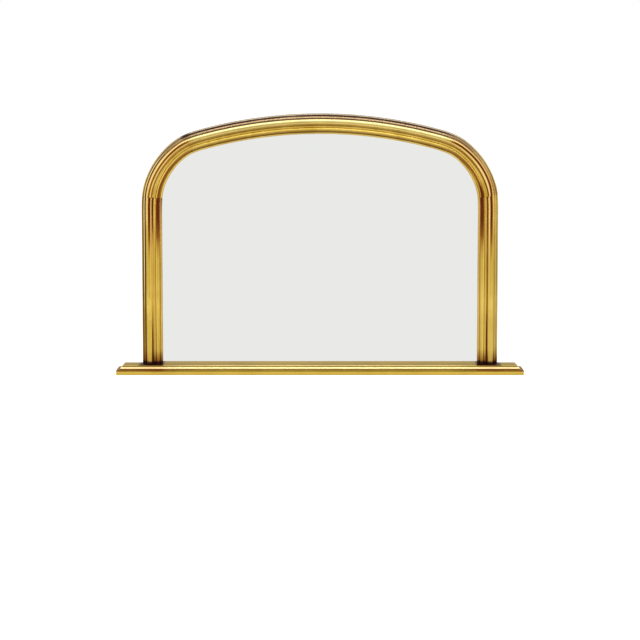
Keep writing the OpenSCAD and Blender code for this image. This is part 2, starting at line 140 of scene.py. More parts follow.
class Shader:
    """A material's or the world's node tree, built one node at a time."""

    def __init__(self, tree: bpy.types.NodeTree) -> None:
        """Empties the tree and starts it again."""
        self.tree = tree
        self.tree.nodes.clear()

    def node(self, kind: str, settings: Optional[Mapping[str, object]] = None,
             plugs: Optional[Mapping[Union[int, str], Plug]] = None) -> bpy.types.Node:
        """Adds a node.

        Args:
            kind: Node type without its ShaderNode prefix.
            settings: The node's own properties, and `stops` for a colour ramp.
            plugs: Values or signals by the socket's name or index.

        Returns:
            The new node.
        """
        made = self.tree.nodes.new("ShaderNode" + kind)
        for name, value in (settings or {}).items():
            if name == "stops":
                self._set_stops(made.color_ramp, value)
            else:
                setattr(made, name, value)
        for key, value in (plugs or {}).items():
            if isinstance(value, Signal):
                self.tree.links.new(value.socket, made.inputs[key])
            else:
                made.inputs[key].default_value = value
        return made

    @staticmethod
    def _set_stops(ramp: bpy.types.ColorRamp, stops: Sequence[Point]) -> None:
        """Sets a ramp's stops.

        Args:
            ramp: The ramp to fill, fresh from its node.
            stops: Places from 0 to 1 with a grey level each.
        """
        ramp.elements.remove(ramp.elements[-1])
        for index, (place, level) in enumerate(stops):
            stop = ramp.elements.new(place) if index else ramp.elements[0]
            stop.position = place
            stop.color = (level, level, level, 1.0)

    def out(self, made: bpy.types.Node, key: Union[int, str] = 0) -> Signal:
        """Gives a node's output as a signal."""
        return Signal(self, made.outputs[key])

    def math(self, operation: str, *values: Number) -> Signal:
        """Adds a Math node and gives its result."""
        return self.out(self.node("Math", {"operation": operation}, dict(enumerate(values))))

    def clamp(self, value: Number) -> Signal:
        """Holds a number between 0 and 1."""
        return self.out(self.node("Clamp", None, {0: value}))

    def step(self, value: Number, low: float, high: float) -> Signal:
        """Rises smoothly from 0 at the low level to 1 at the high one, which may be the lesser number."""
        return self.out(self.node("MapRange", {"interpolation_type": "SMOOTHSTEP"},
                                  {0: value, 1: low, 2: high}))

    def band(self, value: Number, middle: float, reach: float, flat: float) -> Signal:
        """Makes a soft band, full up to `flat` from its middle and gone at `reach`."""
        return self.step(abs(value - middle), reach, flat)

    def mix(self, share: Number, first: Plug, second: Plug) -> Signal:
        """Mixes two colours by the share of the second."""
        return self.out(self.node("Mix", {"data_type": "RGBA", "clamp_factor": True},
                                  {0: share, 6: first, 7: second}), 2)

    def coats(self, ground: Signal, *coats: tuple[Number, Plug]) -> Signal:
        """Lays coats over a ground, one after another.

        Args:
            ground: Colour under them all.
            coats: Share and colour of each coat.

        Returns:
            The colour that shows.
        """
        for share, colour in coats:
            ground = self.mix(share, ground, colour)
        return ground

    def split(self, vector: Signal, scale: float = 1.0) -> tuple[Signal, Signal, Signal]:
        """Splits a vector into its numbers, each multiplied by a scale."""
        made = self.node("SeparateXYZ", None, {0: vector})
        return tuple(self.out(made, index) * scale for index in range(3))

    def join(self, x: Number, y: Number, z: Number) -> Signal:
        """Joins three numbers into a vector."""
        return self.out(self.node("CombineXYZ", None, {0: x, 1: y, 2: z}))

    def place(self) -> Signal:
        """Gives the place on the object, in metres."""
        return self.out(self.node("TexCoord"), "Object")

    def run(self) -> tuple[Signal, Signal]:
        """Gives the place on a moulding: distance from its outer edge and length along it, in mm."""
        across, along, _ = self.split(self.out(self.node("UVMap", {"uv_map": RUN})), 1 / MM)
        return across, along

    def stretched(self, vector: Signal, scale: Sequence[float]) -> Signal:
        """Stretches a place before a pattern reads it."""
        return self.out(self.node("Mapping", None, {0: vector, 3: scale}))

    def noise(self, vector: Signal, scale: float, detail: float = 2.0, rough: float = 0.5) -> Signal:
        """Makes a cloudy pattern around 0.5, with finer layers by `detail`, weighed by `rough`."""
        return self.out(self.node("TexNoise", None, {
            "Vector": vector, "Scale": scale, "Detail": detail, "Roughness": rough}))

    def ramp(self, value: Number, stops: Sequence[Point]) -> Signal:
        """Reads a number against a row of stops."""
        return self.out(self.node("ValToRGB", {"stops": stops}, {0: value}))

    def bump(self, height: Signal, depth: float) -> Signal:
        """Turns a height into a normal; the depth is in metres."""
        return self.out(self.node("Bump", None, {"Strength": 1.0, "Distance": depth, "Height": height}))

    def finish(self, plugs: Mapping[Union[int, str], Plug]) -> None:
        """Closes a material with one Principled shader."""
        closed = self.node("BsdfPrincipled", None, plugs)
        self.node("OutputMaterial", None, {0: self.out(closed)})


def new_material(name: str) -> tuple[Material, Shader]:
    """Starts an empty material.

    Args:
        name: The material's name.

    Returns:
        The material and its shader.
    """
    made = bpy.data.materials.new(name)
    made.use_nodes = True
    return made, Shader(made.node_tree)


# ---------------------------------------------------------------- sizes


@dataclass(frozen=True)
class Bead:
    """One bead of the moulding.

    Attributes:
        start: Distance of its start from the outer edge.
        foot: Height of its foot above the back.
        width: Width with its quirks.
        rise: Rise above its foot.
        steps: Number of edges along its curve.
    """

    start: float
    foot: float
    width: float
    rise: float
    steps: int = 10

    @property
    def end(self) -> float:
        """Gives the distance of its end from the outer edge."""
        return self.start + self.width


@dataclass(frozen=True)
class Moulding:
    """The frame's cross-section: beads from the outer edge to the glass, and the rebate behind."""

    edge: Bead = Bead(0, 18.5, 5.5, 2.2)
    small: Bead = Bead(5.5, 24, 5.8, 2.3)
    crest: Bead = Bead(14.2, 37, 17, 7, 22)
    thin: Bead = Bead(35.1, 30.5, 3.5, 1.5, 8)
    second: Bead = Bead(40.2, 29.5, 13.6, 5.8, 20)
    sight: Bead = Bead(54.7, 25.5, 4.9, 2)
    groove_start: float = 31.9
    sight_edge: float = 22.5
    width: float = 60.9
    rebate_w: float = 8
    rebate_d: float = 18
    quirk: float = 0.2

    @property
    def wall(self) -> float:
        """Gives the distance of the rebate's wall from the outer edge."""
        return self.width - self.rebate_w


@dataclass(frozen=True)
class Arch:
    """The frame's outline: two uprights, two corner pieces and the bowed rail."""

    top: float = 780
    half_w: float = 535
    rail_r: float = 1380
    corner_r: float = 250
    corner_span: float = 132
    corner_drop: float = 189

    @property
    def rail_centre(self) -> Vector:
        """Gives the centre of the rail's bow, as x and z."""
        return Vector((0, self.top - self.rail_r))

    @property
    def joint_a(self) -> Vector:
        """Gives the outer corner of the joint of rail and corner piece."""
        x = self.half_w - self.corner_span
        return self.rail_centre + Vector((x, math.sqrt(self.rail_r ** 2 - x ** 2)))

    @property
    def joint_b(self) -> Vector:
        """Gives the outer corner of the joint of corner piece and upright."""
        return Vector((self.half_w, self.joint_a.y - self.corner_drop))

    @property
    def corner_centre(self) -> Vector:
        """Gives the centre of the corner piece's bow.

        Returns:
            Its x and z.
        """
        chord = self.joint_b - self.joint_a
        inset = math.sqrt(self.corner_r ** 2 - (chord.length / 2) ** 2)
        return (self.joint_a + self.joint_b) / 2 + Vector((chord.y, -chord.x)).normalized() * inset

    @property
    def rail_end(self) -> float:
        """Gives the rail's half angle."""
        return math.asin(self.joint_a.x / self.rail_r)

    @property
    def corner_start(self) -> float:
        """Gives the angle from +X at which the corner piece starts."""
        reach = self.joint_b - self.corner_centre
        return math.atan2(reach.y, reach.x)

    @property
    def corner_end(self) -> float:
        """Gives the angle from +X at which the corner piece ends."""
        reach = self.joint_a - self.corner_centre
        return math.atan2(reach.y, reach.x)

    @property
    def mitre_a(self) -> float:
        """Gives the slope of the upper joint."""
        return (math.pi / 2 - self.rail_end + self.corner_end) / 2

    @property
    def mitre_b(self) -> float:
        """Gives the slope of the lower joint."""
        return self.corner_start / 2

    @property
    def turn_a(self) -> float:
        """Gives the bend between the rail's and the corner piece's outlines."""
        return math.pi / 2 - self.corner_end - self.rail_end

    @property
    def run_a(self) -> float:
        """Gives the run from the centre line to the upper joint."""
        return self.rail_r * self.rail_end

    @property
    def run_b(self) -> float:
        """Gives the run from the centre line to the lower joint."""
        return self.run_a + self.corner_r * (self.corner_end - self.corner_start)

    def rail_place(self, x: float, z: float) -> Point:
        """Gives a point's distance from the rail's outer edge and its run from the centre line."""
        reach = Vector((x, z)) - self.rail_centre
        return self.rail_r - reach.length, self.rail_r * math.atan2(reach.x, reach.y)

    def corner_place(self, x: float, z: float) -> Point:
        """Gives the same for a point of the right corner piece.

        Args:
            x: The point's x.
            z: The point's z.

        Returns:
            Distance from the outer edge, and run.
        """
        reach = Vector((x, z)) - self.corner_centre
        turn = self.corner_end - math.atan2(reach.y, reach.x)
        return self.corner_r - reach.length, self.run_a + self.corner_r * turn

    def upright_place(self, x: float, z: float) -> Point:
        """Gives the same for a point of the right upright."""
        return self.half_w - x, self.run_b + self.joint_b.y - z


@dataclass(frozen=True)
class Shelf:
    """The two boards that the frame stands on."""

    half_w: float = 610
    depth: float = 80
    base_t: float = 16.5
    top_t: float = 10.5
    fascia_h: float = 15
    ledge_w: float = 11.5
    nose_r: float = 5.6
    nose_foot: float = 0.7
    nose_quirk: float = 1.3
    top_ease: float = 1

    @property
    def thickness(self) -> float:
        """Gives the height of the shelf's top."""
        return self.base_t + self.top_t

    @property
    def nose_top(self) -> float:
        """Gives the height of the nose's top."""
        return self.base_t + self.nose_foot + self.nose_r


MOULDING = Moulding()
ARCH = Arch()
SHELF = Shelf()


# ---------------------------------------------------------------- mesh tools


class Pen:
    """Draws the outline of a section in a bmesh: x is across, y is up."""

    def __init__(self, mesh: Mesh, start: Point) -> None:
        """Puts the pen down.

        Args:
            mesh: The bmesh to draw in.
            start: First point.
        """
        self.mesh = mesh
        self.first = mesh.verts.new((*start, 0))
        self.tip = self.first

    def line(self, *points: Point) -> None:
        """Draws straight lines from point to point."""
        for point in points:
            grown = bmesh.ops.extrude_vert_indiv(self.mesh, verts=[self.tip])["verts"]
            bmesh.ops.translate(self.mesh, verts=grown, vec=Vector((*point, 0)) - self.tip.co)
            self.tip = grown[0]

    def arc(self, centre: Point, turn: float, steps: int) -> None:
        """Draws an arc from the tip.

        Args:
            centre: Its centre.
            turn: Angle that it turns through, anticlockwise if positive.
            steps: Number of edges along it.
        """
        turned = bmesh.ops.spin(self.mesh, geom=[self.tip], cent=(*centre, 0), axis=(0, 0, 1), angle=turn,
                                steps=steps, use_duplicate=False)
        self.tip = next(part for part in turned["geom_last"] if isinstance(part, bmesh.types.BMVert))

    def bead(self, bead: Bead, quirk: float) -> None:
        """Draws a bead with its two quirks.

        Args:
            bead: The bead.
            quirk: Flat left on each side of it.
        """
        half = bead.width / 2 - quirk
        radius = (half ** 2 + bead.rise ** 2) / (2 * bead.rise)
        self.line((bead.start, bead.foot), (bead.start + quirk, bead.foot))
        self.arc((bead.start + bead.width / 2, bead.foot + bead.rise - radius),
                 -2 * math.asin(half / radius), bead.steps)
        self.line((bead.end, bead.foot))

    def close(self) -> None:
        """Joins the tip to the first point."""
        bmesh.ops.contextual_create(self.mesh, geom=[self.tip, self.first])


def draw_moulding(mesh: Mesh, section: Moulding) -> None:
    """Draws the moulding's section: x from the outer edge, y above the back.

    Args:
        mesh: The bmesh to draw in.
        section: The moulding.
    """
    pen = Pen(mesh, (0, 0))
    for bead in (section.edge, section.small, section.crest):
        pen.bead(bead, section.quirk)
    pen.line((section.groove_start, section.thin.foot))
    pen.bead(section.thin, section.quirk)
    pen.line((section.second.start, section.thin.foot))
    for bead in (section.second, section.sight):
        pen.bead(bead, section.quirk)
    pen.line((section.width, section.sight_edge), (section.width, section.rebate_d),
             (section.wall, section.rebate_d), (section.wall, 0))
    pen.close()


def cut(mesh: Mesh, joint: Point, angle: float, side: int) -> None:
    """Trims a piece at a joint and closes the cut.

    Args:
        mesh: The piece.
        joint: Outer corner of the joint, as x and z.
        angle: Slope of the joint.
        side: 1 takes away what lies ahead of the joint, -1 what lies behind it.
    """
    everything = mesh.verts[:] + mesh.edges[:] + mesh.faces[:]
    place = Vector((joint[0], 0, joint[1]))
    facing = Vector((-math.sin(angle), 0, math.cos(angle))) * side
    bmesh.ops.bisect_plane(mesh, geom=everything, dist=TOUCH, plane_co=place, plane_no=facing,
                           clear_outer=True)
    rim = [edge for edge in mesh.edges if edge.is_boundary
           and all(abs((vert.co - place).dot(facing)) < ON_JOINT for vert in edge.verts)]
    bmesh.ops.edgeloop_fill(mesh, edges=rim)


def soften(mesh: Mesh, sharpest: float = 32.0) -> None:
    """Shades a mesh smooth and keeps its arrises.

    Args:
        mesh: The mesh.
        sharpest: Angle in degrees up to which two faces shade as one.
    """
    for face in mesh.faces:
        face.smooth = True
    for edge in mesh.edges:
        edge.smooth = edge.calc_face_angle(math.pi) < math.radians(sharpest)


def add_object(name: str, data: bpy.types.ID) -> bpy.types.Object:
    """Adds an object to the scene.

    Args:
        name: Its name.
        data: Its mesh, light or camera.

    Returns:
        The new object.
    """
    made = bpy.data.objects.new(name, data)
    bpy.context.scene.collection.objects.link(made)
    return made


def mesh_object(mesh: Mesh, name: str, material: Material) -> bpy.types.Object:
    """Makes an object of a bmesh.

    Args:
        mesh: The finished bmesh, freed here.
        name: The object's name.
        material: Its finish.

    Returns:
        The new object.
    """
    data = bpy.data.meshes.new(name)
    mesh.to_mesh(data)
    mesh.free()
    data.materials.append(material)
    return add_object(name, data)


def finish_piece(mesh: Mesh, name: str, material: Material, body: str, node: str,
                 scale: float = MM) -> None:
    """Makes a piece of a mesh and hands it to the frame.

    Args:
        mesh: The finished bmesh.
        name: The piece's name.
        material: Its finish.
        body: Body that it rides on.
        node: CAD node that it stands for.
        scale: Metres in one unit of the mesh.
    """
    bmesh.ops.scale(mesh, vec=(scale,) * 3, verts=mesh.verts)
    piece = mesh_object(mesh, name, material)
    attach(piece, body)
    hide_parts(node)
    LOG.info("%s: %d faces", name, len(piece.data.polygons))


def dress_node(node: str, material: Material) -> None:
    """Gives a carried-over CAD node its finish.

    Args:
        node: The node's name.
        material: Its finish.
    """
    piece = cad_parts[node]
    if not piece.material_slots:
        piece.data.materials.append(material)
    for slot in piece.material_slots:
        slot.material = material
    LOG.info("%s: dressed", node)


def smooth_copy(node: str, material: Material, body: str) -> None:
    """Stands a merged, smooth copy in for a CAD node.

    Args:
        node: The node's name.
        material: Its finish.
        body: Body that it rides on.
    """
    mesh = bmesh.new()
    mesh.from_mesh(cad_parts[node].data)
    bmesh.ops.remove_doubles(mesh, verts=mesh.verts, dist=MERGE)
    soften(mesh)
    finish_piece(mesh, "smooth_" + node, material, body, node, 1.0)


# ---------------------------------------------------------------- finishes

# Levels of wax by distance from the outer edge in mm, and the length of both rows; the rail's row also holds
# painted shade on the lower flanks of its beads.
LEVEL_ROW_SPAN = 64.0
RAIL_WAX_AND_SHADE = ((0, .8), (1.6, .6), (3.2, .2), (4.4, .2), (5.4, 1), (8.6, 1), (9.4, 0), (12, 0), (12.7, 1),
            (15.8, 1), (16.8, 0), (22.5, .15), (25, .4), (27, 0), (31, .05), (33, .5), (35.6, .55), (37, .15),
            (38, 0), (41, .1), (44, .3), (47, .2), (49.5, .4), (52.5, .5), (54.5, .35), (57.5, .1), (60, .05))
SIDE_WAX = ((0, .4), (2.6, .6), (3.6, 1), (5.2, 1), (6.2, .15), (8.9, .15), (9.8, .95), (12.3, .95),
            (13.6, .1), (15, 0), (53, 0), (55, .1), (57.4, .1), (60.9, .15))


@dataclass(frozen=True)
class Lines:
    """Soft lines along the moulding: middle from the outer edge, reach, and half width of the full part.

    A name's ending tells where the line is; without one it is on the uprights.
    """

    crest: Band = (22.7, 9.0, 5.0)
    # The dark lines below are painted dark reflections on the beads and painted shade in the groove, partly
    # patina.
    crest_dark: Band = (22.4, 4.8, 2.4)
    crest_dark_bow: Band = (19.4, 4.0, 1.7)
    outer_dark_bow: Band = (11.2, 2.6, 1.2)
    inner_dark: Band = (49.0, 6.4, 3.8)
    inner_dark_bow: Band = (48.8, 5.2, 1.8)
    inner_dark_joint: Band = (48.0, 5.4, 2.9)
    inner_dark_rail: Band = (52.4, 4.4, 1.4)
    groove_dark: Band = (34.0, 3.2, 1.4)
    groove_dark_right: Band = (33.0, 2.0, 0.8)
    groove_dark_bow: Band = (29.4, 2.8, 1.2)
    groove_dark_rail: Band = (35.0, 2.6, 1.2)
    groove_dark_foot: Band = (34.0, 3.0, 1.0)
    sight_dark: Band = (59.4, 3.4, 1.8)
    # Two darker lines in the corners: wax with painted shade.
    outer_wax_and_shade_bow: Band = (5.6, 5.6, 3.2)
    second_wax_and_shade_bow: Band = (45.0, 4.0, 2.0)
    outer_smear: Band = (6.5, 7.0, 4.5)
    # The light lines below are painted highlights.
    crest_light_rail: Band = (20.2, 5.0, 1.4)
    flank_light_rail: Band = (29.0, 3.6, 1.2)
    outer_light_bow: Band = (13.2, 3.3, 1.0)
    crest_light_bow: Band = (25.4, 3.0, 1.0)
    outer_light: Band = (12.0, 2.6, 1.4)
    flank_light: Band = (30.4, 3.4, 1.2)
    thin_light: Band = (38.0, 2.2, 0.8)
    second_light: Band = (43.8, 3.2, 1.0)
    sight_light: Band = (54.4, 2.8, 1.0)
    edge_light_top: Band = (8.0, 2.2, 0.8)
    flank_light_top: Band = (29.4, 3.0, 1.4)
    sight_light_top: Band = (54.8, 2.2, 1.0)


LINES = Lines()


@dataclass(frozen=True)
class Timber:
    """Bare softwood: pale bands and dark pores along its length."""

    early: Colour = paint(206, 172, 122)
    late: Colour = paint(164, 122, 76)
    pore: Colour = paint(112, 78, 46)

    def colour(self, shader: Shader, place: Signal, scale: Sequence[float]) -> tuple[Signal, Signal]:
        """Builds the grain.

        Args:
            shader: Shader to build in.
            place: Place to read the grain at.
            scale: Stretch of the grain, small along its length.

        Returns:
            The colour and the height of the grain.
        """
        along = shader.stretched(place, scale)
        rings = shader.noise(along, 1.0, 3.0, 0.6)
        fibre = shader.noise(shader.stretched(along, (6, 6, 6)), 1.0, 2.0)
        base = shader.mix(shader.step(rings, 0.35, 0.62), self.early, self.late)
        return shader.mix(shader.step(fibre, 0.56, 0.74) * 0.6, base, self.pore), fibre

    def material(self, name: str, scale: Sequence[float]) -> Material:
        """Makes the finish of a wholly bare piece.

        Args:
            name: The material's name.
            scale: Stretch of the grain.

        Returns:
            The material.
        """
        made, shader = new_material(name)
        colour, height = self.colour(shader, shader.place(), scale)
        shader.finish({"Base Color": colour, "Roughness": 0.72,
                       "Normal": shader.bump(height, 0.0002)})
        return made


class Zones:
    """Where a point lies on the frame, and the patterns that the layers of its finish share."""

    def __init__(self, shader: Shader) -> None:
        """Reads the piece's run and builds the masks.

        Args:
            shader: Shader to build in.
        """
        self.shader = shader
        self.across, self.along = shader.run()
        self.x, self.y, self.z = shader.split(shader.place(), 1 / MM)
        self.far = abs(self.along)
        self.left = shader.step(self.along, 40, -40)
        self.right = 1.0 - self.left
        drawn = shader.join(self.across * 0.5, self.along * 0.012, self.z * 0.002)
        self.strokes = shader.noise(drawn, 1.0, 2.0, 0.6)
        self.clouds = shader.noise(shader.place(), 11.0, 4.0, 0.6)
        self.on_rail = shader.step(self.far, ARCH.run_a + 40, ARCH.run_a - 40)
        self.below = shader.step(self.far + self.right * 6.0, ARCH.run_b - 5, ARCH.run_b + 4)
        self.bow = (1.0 - self.on_rail) * (1.0 - self.below)
        self.climb = shader.step(self.far, ARCH.run_b + 20, ARCH.run_a)
        self.high = self.climb * self.climb
        self.near_rail = shader.step(self.far + self.left * 50.0, ARCH.run_a + 165, ARCH.run_a + 45)
        self.outside = shader.step(self.across, 14.6, 13.2)
        self.outermost = shader.step(self.across, 12.0, 8.0)
        near_joint = self.right * shader.step(self.far, ARCH.run_b - 50, ARCH.run_b)
        self.across_bow = (self.across - self.left * (self.climb * 2.0 + 2.3)
                           - self.right * self.high * 3.5 - near_joint * 1.6)

    def line(self, band: Band, across: Optional[Signal] = None) -> Signal:
        """Draws a soft line along the moulding."""
        return self.shader.band(self.across if across is None else across, *band)

    def row_level(self, across: Signal, row: Sequence[Point]) -> Signal:
        """Reads a row of wax levels that stand by their distance from the outer edge."""
        return self.shader.ramp(across / LEVEL_ROW_SPAN, [(place / LEVEL_ROW_SPAN, level) for place, level in row])

    def seams(self) -> Signal:
        """Marks the hairlines where the five pieces of the frame meet.

        Returns:
            The mask.
        """
        hairlines = []
        for joint, angle in ((ARCH.joint_a, ARCH.mitre_a), (ARCH.joint_b, ARCH.mitre_b)):
            off = (self.z - joint.y) * math.cos(angle) - (abs(self.x) - joint.x) * math.sin(angle)
            hairlines.append(self.shader.step(abs(off), 0.9, 0.2))
        return hairlines[0] + hairlines[1]


@dataclass(frozen=True)
class Gilding:
    """Burnished gold paint over red bole, with brown wax left in the hollows; over it lie painted highlights,
    painted dark reflections and painted shade.
    """

    pale: Colour = paint(234, 204, 102)
    deep: Colour = paint(208, 174, 68)
    # A darker gold: a painted darker reflection on the uprights, a plain tone on the shelf.
    dusk: Colour = paint(196, 162, 58)
    straw: Colour = paint(186, 174, 118)
    # Painted highlight on the uprights' beads.
    honey: Colour = paint(246, 220, 126)
    # Bronze paint lightened by a painted reflection of the pale room, on the outer members.
    bronze_and_reflection: Colour = paint(244, 226, 198)
    # Painted highlights: on the rail's crest and the shelf's arris and nose, and (next line) in the corners
    # and on the shelf's nose at its ends.
    painted_highlight: Colour = paint(240, 226, 162)
    blush: Colour = paint(254, 218, 156)
    # Wax in the hollows together with painted shade; the next colour is used near the rail.
    wax_and_shade: Colour = paint(66, 42, 24)
    russet: Colour = paint(76, 34, 4)
    # Colours of the painted shade on the shelf's ledge, brow and top; the next one towards its ends.
    olive: Colour = paint(112, 88, 24)
    end_shade_brown: Colour = paint(100, 46, 0)
    # Colours of the dark lines: painted dark reflection and shade, partly patina.
    umber: Colour = paint(92, 34, 0)
    tawny: Colour = paint(156, 100, 20)
    bole: Colour = paint(140, 62, 30)
    # Painted shadow at the uprights' feet, and a dark stain by the upper joint.
    shadow_and_stain_black: Colour = paint(52, 16, 16)
    edge_tint: Colour = paint(246, 236, 206)
    metal: float = 0.95
    rough: float = 0.34
    coat: float = 0.06
    coat_rough: float = 0.18
    relief: float = 0.00015
    timber: Timber = Timber()

    def frame_material(self) -> Material:
        """Makes the finish of the moulding, which reads the piece's own run.

        Returns:
            The material.
        """
        made, shader = new_material("gilt_moulding")
        at, step = Zones(shader), shader.step
        # Wax with painted shade, and the dark lines of painted dark reflection and shade.
        wax_and_shade, shade = self._wax_and_shade(at), self._shade(at)
        # Painted highlights on the rail, on the uprights' flanks and in the corners.
        rail_light, flank_light, side_light = self._lights(at)
        right_upright = at.right * at.below
        bruise = at.left * at.outermost * shader.band(at.far, ARCH.run_a + 2, 24, 5)
        # Painted shadow at the bottom of the uprights where they meet the shelf, with the dark stain by the
        # upper joint.
        shadow_and_stain = shader.clamp(step(at.z, 40, 32) + bruise * 0.85)
        # Darker towards the feet: painted shade near the shelf, partly patina.
        foot = step(at.z, 80, 36) * (0.9 - at.line(LINES.crest) * 0.6) * (0.55 + at.clouds * 0.9)
        dark = shader.clamp(shade + foot * 0.66)
        # Pale outer members, mostly on the rail: bronze paint lightened by a painted reflection of the pale
        # room.
        outer_tan_and_reflection = at.outside * step(at.across, 0.3, 1.4) * (at.on_rail * 0.95 + at.bow * (0.1 + at.climb * 0.5))
        # Painted darker reflection: a dimmer gold on the middle of the uprights and low on the right one.
        dusk = shader.clamp(shader.band(at.z, 350, 150, 50) * at.below * 0.85
                            + right_upright * step(at.z, 300, 120) * 0.6)
        straw = right_upright * (at.outside * at.outermost * 0.42 + 0.1)
        smear = at.line(LINES.outer_smear) * at.left * at.below * step(at.z, 300, 160)
        rubbed = shader.clamp(self._rubbed(shader, at.strokes, at.clouds) + smear * 0.42)

        gold = shader.coats(
            shader.mix(step(at.clouds, 0.36, 0.66), self.pale, self.deep),
            (dusk, self.dusk), (straw, self.straw), (outer_tan_and_reflection, self.bronze_and_reflection), (rubbed, self.bole),
            (rail_light, self.painted_highlight), (flank_light, self.honey), (side_light, self.blush),
            (wax_and_shade, shader.mix(at.near_rail, self.russet, self.wax_and_shade)),
            (dark * 1.6, shader.mix(dark * dark, self.tawny, self.umber)), (shadow_and_stain, self.shadow_and_stain_black))
        self._close(shader, gold, (shader.join(at.across, at.along, at.y), (0.16, 0.008, 0.16)), {
            "bare": step(at.across, 1.0, 2.2) * self._behind(shader, at.y), "shadow_and_stain": shadow_and_stain,
            "shine": rail_light, "dull": shader.clamp(wax_and_shade * 0.6 + shade * 0.5 + shadow_and_stain),
            "strokes": at.strokes, "clouds": at.clouds})
        return made

    @staticmethod
    def _wax_and_shade(at: Zones) -> Signal:
        """Lays the wax in the hollows, with painted shade on the rail's lower flanks and in the corners, by
        the rail's row of levels or by the sides' row.

        Args:
            at: Where the point lies.

        Returns:
            The mask.
        """
        shader, on_side = at.shader, 1.0 - at.near_rail
        # Less of the sides' dark row on the outer members of the right side, of the left corners and low on
        # the left upright.
        outside_cutback = at.right * 0.93 + at.bow * at.left * 0.25 + at.left * shader.band(at.z, 125, 70, 35) * 0.22
        drawn_in = at.across - at.left * at.bow * at.high * 4.2
        wax_and_shade = (at.row_level(at.across, RAIL_WAX_AND_SHADE) * at.near_rail * (1.0 - at.bow * 0.3)
               + at.row_level(drawn_in, SIDE_WAX) * (1.0 - at.outside * outside_cutback) * on_side)
        return shader.clamp(wax_and_shade * (0.75 + at.clouds * 0.5) + shader.step(at.strokes, 0.56, 0.78) * 0.12
                            + at.line(LINES.outer_wax_and_shade_bow) * at.right * at.bow * on_side * 0.5
                            + at.line(LINES.second_wax_and_shade_bow) * at.bow * 0.25)

    @staticmethod
    def _shade(at: Zones) -> Signal:
        """Paints dark lines beside the crest, in the groove and inside the second bead, partly painted dark
        reflection and painted shade, partly patina, and the dark hairlines of the joints.

        Args:
            at: Where the point lies.

        Returns:
            The mask.
        """
        line, step, far = at.line, at.shader.step, at.far
        crest = (line(LINES.crest_dark, at.across - at.left * 2.0) * at.below * step(far, 880, 700)
                 + line(LINES.crest_dark_bow, at.across_bow) * at.bow
                 * (1.15 - at.left * (0.52 - at.high * 0.25))
                 + line(LINES.outer_dark_bow) * at.right * at.bow * at.high * 0.4)
        inwards = at.across - at.high * 3.2 - at.left * (1.0 - at.climb) * 1.2 + at.right * 0.9
        inner = (line(LINES.inner_dark) * at.below * step(far, 860, 700)
                 + line(LINES.inner_dark_bow, inwards) * at.bow * (0.8 - at.climb * 0.3)
                 + line(LINES.inner_dark_joint, inwards) * at.bow * at.right * step(far, 580, 650)
                 + line(LINES.inner_dark_rail) * at.on_rail * 0.3)
        groove = (line(LINES.groove_dark) * at.below * step(far, 820, 690) * (0.35 + at.left * 0.6)
                  + line(LINES.groove_dark_right) * at.right * at.below * 0.6
                  + line(LINES.groove_dark_bow, at.across - at.climb * 5.5) * at.bow
                  * (0.46 + at.right * 0.12)
                  + line(LINES.groove_dark_rail) * at.on_rail * 0.3
                  + line(LINES.groove_dark_foot, at.across + at.left * 2.0) * step(at.z, 230, 80) * 0.7)
        sight = line(LINES.sight_dark) * at.left * at.below * step(far, 800, 640) * 0.6
        uneven = 0.85 + at.strokes * 0.3
        return at.shader.clamp((crest + inner + groove + sight) * uneven + at.seams() * 0.32)

    @staticmethod
    def _lights(at: Zones) -> tuple[Signal, Signal, Signal]:
        """Paints highlights on the high places, where the lamps would glint.

        Args:
            at: Where the point lies.

        Returns:
            The masks of the painted highlights on the rail, on the uprights' flanks and in the corners with
            the uprights' tops.
        """
        line, step = at.line, at.shader.step
        rail = (line(LINES.crest_light_rail) * 0.85 + line(LINES.flank_light_rail) * 0.6) * at.on_rail
        shoulder = at.below * step(at.far, ARCH.run_b + 110, ARCH.run_b)
        outer = line(LINES.outer_light_bow, at.across_bow + at.right * 0.7)
        inner = line(LINES.crest_light_bow, at.across_bow)
        bow = (outer * (at.bow * 0.75 + shoulder * 0.6)
               + inner * (0.7 - at.left * (1.0 - at.climb) * 0.3) * at.bow)
        flank = (line(LINES.flank_light) + line(LINES.second_light) * 0.5 + line(LINES.sight_light) * 0.8
                 + line(LINES.thin_light) * 0.5 + line(LINES.outer_light) * at.right) * at.below * 0.75
        top = ((line(LINES.flank_light_top) + line(LINES.sight_light_top)) * step(at.far, 850, 720)
               + line(LINES.edge_light_top) * at.left * step(at.z, 200, 330)) * at.below * 0.8
        sight_edge = step(at.across, 56.6, 58.4) * 0.25
        return rail, flank, at.shader.clamp(bow + top + sight_edge)

    @staticmethod
    def _rubbed(shader: Shader, strokes: Signal, clouds: Signal) -> Signal:
        """Marks where the gold is rubbed through."""
        return shader.step(strokes, 0.40, 0.30) * shader.step(clouds, 0.46, 0.60) * 0.4

    @staticmethod
    def _behind(shader: Shader, y: Signal) -> Signal:
        """Marks what lies behind the rebate's face."""
        return shader.step(y, -MOULDING.rebate_d - 0.3, -MOULDING.rebate_d + 0.1)

